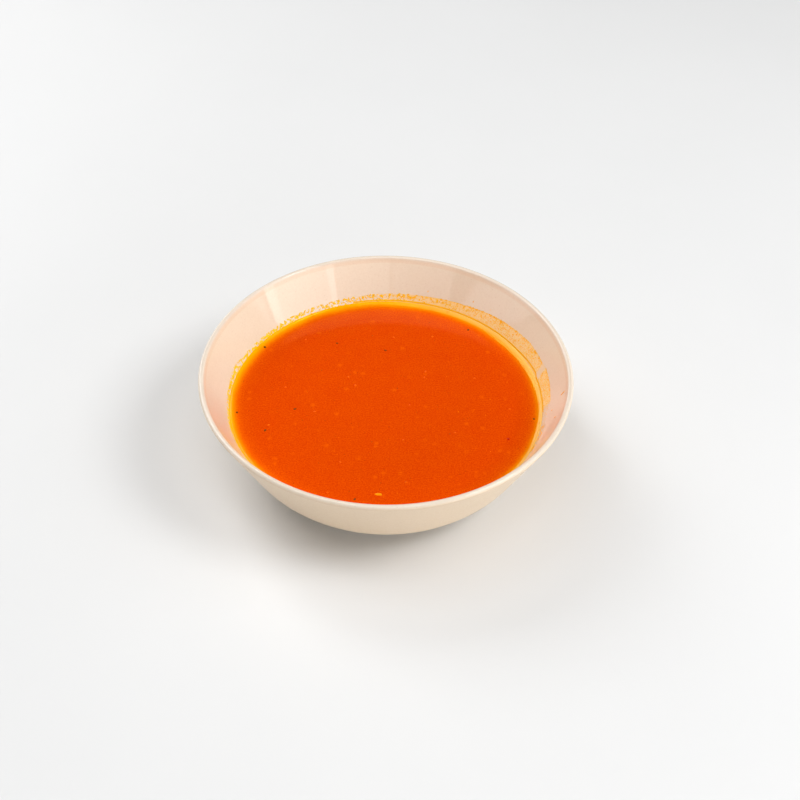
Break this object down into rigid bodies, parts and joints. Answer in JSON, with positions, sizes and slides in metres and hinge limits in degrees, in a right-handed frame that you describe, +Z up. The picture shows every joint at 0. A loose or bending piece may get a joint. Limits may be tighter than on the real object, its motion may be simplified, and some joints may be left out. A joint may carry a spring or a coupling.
{
  "type": "bowl of tomato soup",
  "caption": "Round flared serving bowl with a full-round lip and a low foot ring, filled well below its rim with a smooth orange-red soup.",
  "frame": {"origin": "middle of the underside, on the plane the foot ring stands on", "axes": "+Z up along the bowl's axis, -Y towards the person it is served to"},
  "size_m": [0.19, 0.19, 0.057],
  "materials": {
    "plant_plastic": "satin, pale peach with a faint fine fibre speckle",
    "soup_liquid": "wet orange-red puree, yellow where it thins out against the bowl"
  },
  "bodies": {
    "root": {"bowl": "plant_plastic", "soup": "soup_liquid"}
  },
  "joints": []
}
